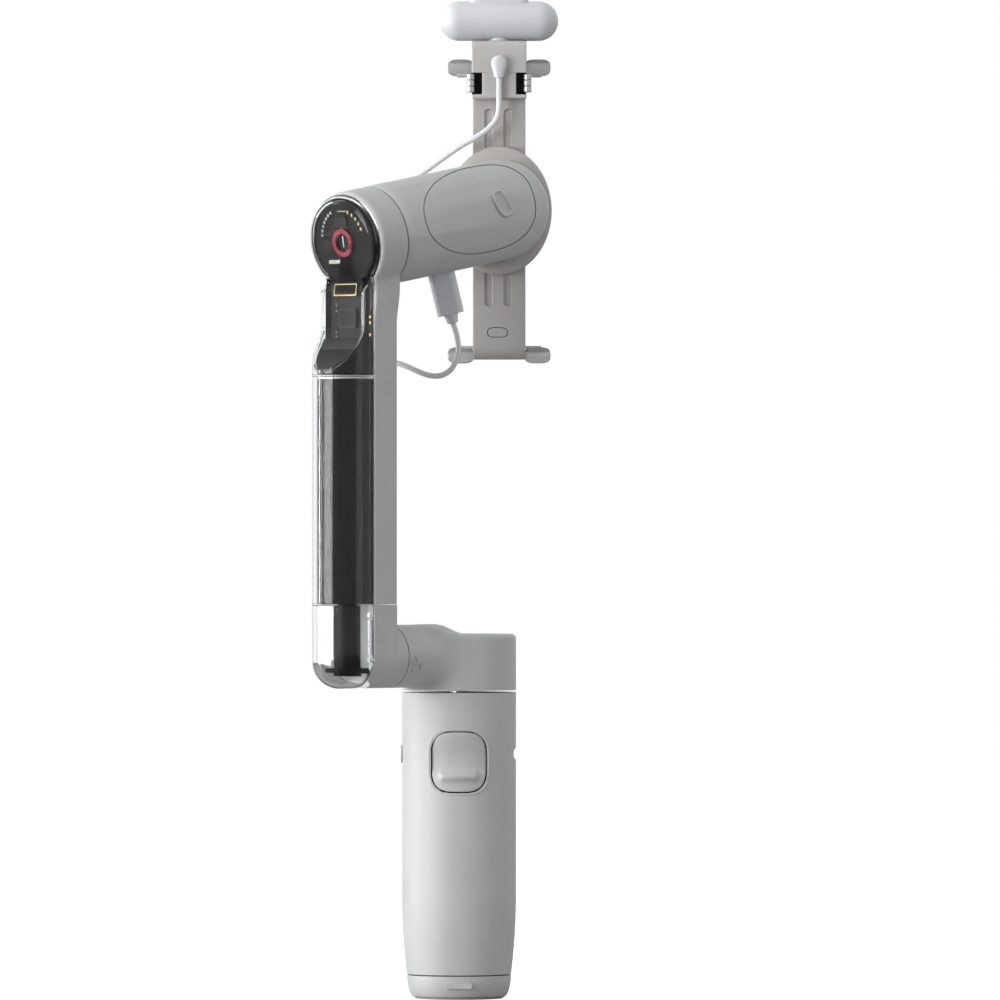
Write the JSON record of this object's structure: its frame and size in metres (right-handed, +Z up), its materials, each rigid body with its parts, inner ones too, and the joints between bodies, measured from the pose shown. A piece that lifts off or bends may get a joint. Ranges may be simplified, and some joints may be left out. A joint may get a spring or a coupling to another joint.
{
  "type": "gimbal stabilizer",
  "caption": "Folding three-axis hand stabilizer with part-clear telescopic arm, magnetic phone clamp and a plug-in lamp capsule on the clamp.",
  "frame": {"origin": "mouth of the thread in the handle's bottom, on the pan axis", "axes": "+Z up along the pan axis, trigger towards -Y, phone and control panel towards +Y"},
  "size_m": [0.0736, 0.0786, 0.2888],
  "materials": {
    "stone_plastic": "fine matte",
    "warm_grey_plastic": "satin",
    "clear_plastic": "clear gloss",
    "black_plastic": "satin",
    "dark_rubber": "matte",
    "white_plastic": "satin white",
    "lead_cover": "smooth white",
    "lamp_diffuser": "milky",
    "liner_rubber": "matte",
    "red_plastic": "satin",
    "bright_steel": "brushed",
    "rod_metal": "anodised satin",
    "wound_copper": "enamelled wire",
    "red_coil": "enamelled wire",
    "circuit_board": "satin",
    "cell_wrap": "shrink film"
  },
  "bodies": {
    "handle": {"handle_shell": "stone_plastic", "inner_frame": "black_plastic", "battery": "cell_wrap", "control_board": "circuit_board", "charging_port": "bright_steel", "pan_stator": "wound_copper", "pan_bearing": "bright_steel", "control_panel": "black_plastic", "touch_ring": "dark_rubber", "trigger_pin": "bright_steel", "trigger_spring": "bright_steel"},
    "joystick_yoke": {"joystick_yoke": "bright_steel"},
    "joystick": {"joystick": "black_plastic"},
    "record_button": {"record_button": "red_plastic"},
    "mode_button": {"mode_button": "stone_plastic"},
    "power_button": {"power_button": "stone_plastic"},
    "trigger": {"trigger": "stone_plastic"},
    "tripod": {"tripod_cap": "stone_plastic", "thread_insert": "bright_steel", "tripod_hub": "black_plastic", "tripod_legs": "rod_metal", "tripod_pins": "bright_steel"},
    "pan": {"pan_housing": "stone_plastic", "pan_rotor": "bright_steel"},
    "lower_arm": {"lower_spine": "stone_plastic", "lower_clear_cap": "clear_plastic", "fold_axle": "bright_steel", "rod_foot": "black_plastic", "cap_fittings": "bright_steel"},
    "rod_2": {"rod_tube_2": "rod_metal"},
    "rod_3": {"rod_tube_3": "rod_metal"},
    "rod_4": {"rod_tube_4": "rod_metal"},
    "upper_arm": {"arm_spine": "stone_plastic", "clear_tube": "clear_plastic", "clear_window": "clear_plastic", "black_sleeve": "black_plastic", "main_board": "circuit_board", "round_board": "circuit_board", "tilt_coil": "red_coil", "tilt_stator": "wound_copper"},
    "roll_arm": {"roll_arm_shell": "stone_plastic", "roll_cover": "stone_plastic", "tilt_rotor": "bright_steel", "roll_stator": "wound_copper", "accessory_plug": "white_plastic", "accessory_lead": "lead_cover"},
    "head": {"roll_head": "bright_steel"},
    "clamp": {"clamp_disc": "warm_grey_plastic", "clamp_back": "black_plastic"},
    "pinion": {"clamp_pinion": "bright_steel"},
    "upper_jaw": {"upper_jaw": "warm_grey_plastic", "upper_liner": "liner_rubber", "lamp_bracket": "warm_grey_plastic", "lead_relief": "white_plastic", "lamp_body": "white_plastic", "lamp_window": "lamp_diffuser"},
    "lower_jaw": {"lower_jaw": "warm_grey_plastic", "lower_liner": "liner_rubber"},
    "left_clip": {"left_clip": "bright_steel"},
    "right_clip": {"right_clip": "bright_steel"}
  },
  "joints": [
    {"name": "pan", "type": "hinge", "parent": "handle", "child": "pan", "pos_m": [0, 0, 0.0881], "axis": [0, 0, 1], "range_deg": [-102, 230]},
    {"name": "fold", "type": "hinge", "parent": "pan", "child": "lower_arm", "pos_m": [0, 0, 0.0983], "axis": [0.7193, 0.6947, 0], "range_deg": [0, 150]},
    {"name": "rod_2_slide", "type": "slide", "parent": "lower_arm", "child": "rod_2", "axis": [0, 0, 1], "range_m": [0, 0.0537]},
    {"name": "rod_3_slide", "type": "slide", "parent": "rod_2", "child": "rod_3", "axis": [0, 0, 1], "range_m": [0, 0.0537]},
    {"name": "rod_4_slide", "type": "slide", "parent": "rod_3", "child": "rod_4", "axis": [0, 0, 1], "range_m": [0, 0.0537]},
    {"name": "upper_slide", "type": "slide", "parent": "rod_4", "child": "upper_arm", "axis": [0, 0, 1], "range_m": [0, 0.0537]},
    {"name": "tilt", "type": "hinge", "parent": "upper_arm", "child": "roll_arm", "pos_m": [0.0115, 0.01111, 0.2264], "axis": [0.7093, 0.6849, 0.1668], "range_deg": [-80, 210]},
    {"name": "roll", "type": "hinge", "parent": "roll_arm", "child": "head", "pos_m": [0.0115, 0.01111, 0.2264], "axis": [0, 1, 0], "range_deg": [-230, 60], "deforming": ["accessory_lead"]},
    {"name": "clamp_release", "type": "slide", "parent": "head", "child": "clamp", "axis": [0, 1, 0], "range_m": [0, 0.012]},
    {"name": "upper_jaw_slide", "type": "slide", "parent": "clamp", "child": "upper_jaw", "axis": [0, 0, 1], "range_m": [-0.0069, 0.0031], "deforming": ["accessory_lead"]},
    {"name": "lower_jaw_slide", "type": "slide", "parent": "clamp", "child": "lower_jaw", "axis": [0, 0, -1], "range_m": [-0.0069, 0.0031]},
    {"name": "pinion_spin", "type": "hinge", "parent": "clamp", "child": "pinion", "pos_m": [0.0115, 0.0197, 0.2264], "axis": [0, 1, 0], "range_deg": [-132, 60]},
    {"name": "left_clip_turn", "type": "hinge", "parent": "upper_jaw", "child": "left_clip", "pos_m": [0.0028, 0.0181, 0.2621], "axis": [0, 0, 1], "range_deg": [0, 35], "stiffness_Nm_per_rad": 0.01},
    {"name": "right_clip_turn", "type": "hinge", "parent": "upper_jaw", "child": "right_clip", "pos_m": [0.0202, 0.0181, 0.2621], "axis": [0, 0, -1], "range_deg": [0, 35], "stiffness_Nm_per_rad": 0.01},
    {"name": "tripod_slide", "type": "slide", "parent": "handle", "child": "tripod", "axis": [0, 0, -1], "range_m": [0, 0.024]},
    {"name": "trigger_pull", "type": "hinge", "parent": "handle", "child": "trigger", "pos_m": [0, -0.0114, 0.0747], "axis": [1, 0, 0], "range_deg": [0, 4.5], "stiffness_Nm_per_rad": 0.05, "deforming": ["trigger_spring"]},
    {"name": "joystick_up_down", "type": "hinge", "parent": "handle", "child": "joystick_yoke", "pos_m": [0, 0.01115, 0.0691], "axis": [1, 0, 0], "range_deg": [-8, 8], "stiffness_Nm_per_rad": 0.02},
    {"name": "joystick_left_right", "type": "hinge", "parent": "joystick_yoke", "child": "joystick", "pos_m": [0, 0.01115, 0.0691], "axis": [0, 0, 1], "range_deg": [-8, 8], "stiffness_Nm_per_rad": 0.02},
    {"name": "record_press", "type": "slide", "parent": "handle", "child": "record_button", "axis": [0, -1, 0], "range_m": [0, 0.0006], "stiffness_N_per_m": 500},
    {"name": "mode_press", "type": "slide", "parent": "handle", "child": "mode_button", "axis": [0, -1, 0], "range_m": [0, 0.0006], "stiffness_N_per_m": 500},
    {"name": "power_press", "type": "slide", "parent": "handle", "child": "power_button", "axis": [1, 0, 0], "range_m": [0, 0.0005], "stiffness_N_per_m": 500}
  ],
  "couplings": [
    {"joint": "rod_2_slide", "follows": "upper_slide", "ratio": 1},
    {"joint": "rod_3_slide", "follows": "upper_slide", "ratio": 1},
    {"joint": "rod_4_slide", "follows": "upper_slide", "ratio": 1},
    {"joint": "lower_jaw_slide", "follows": "upper_jaw_slide", "ratio": 1},
    {"joint": "pinion_spin", "follows": "upper_jaw_slide", "rad_per_m": 333.33}
  ]
}
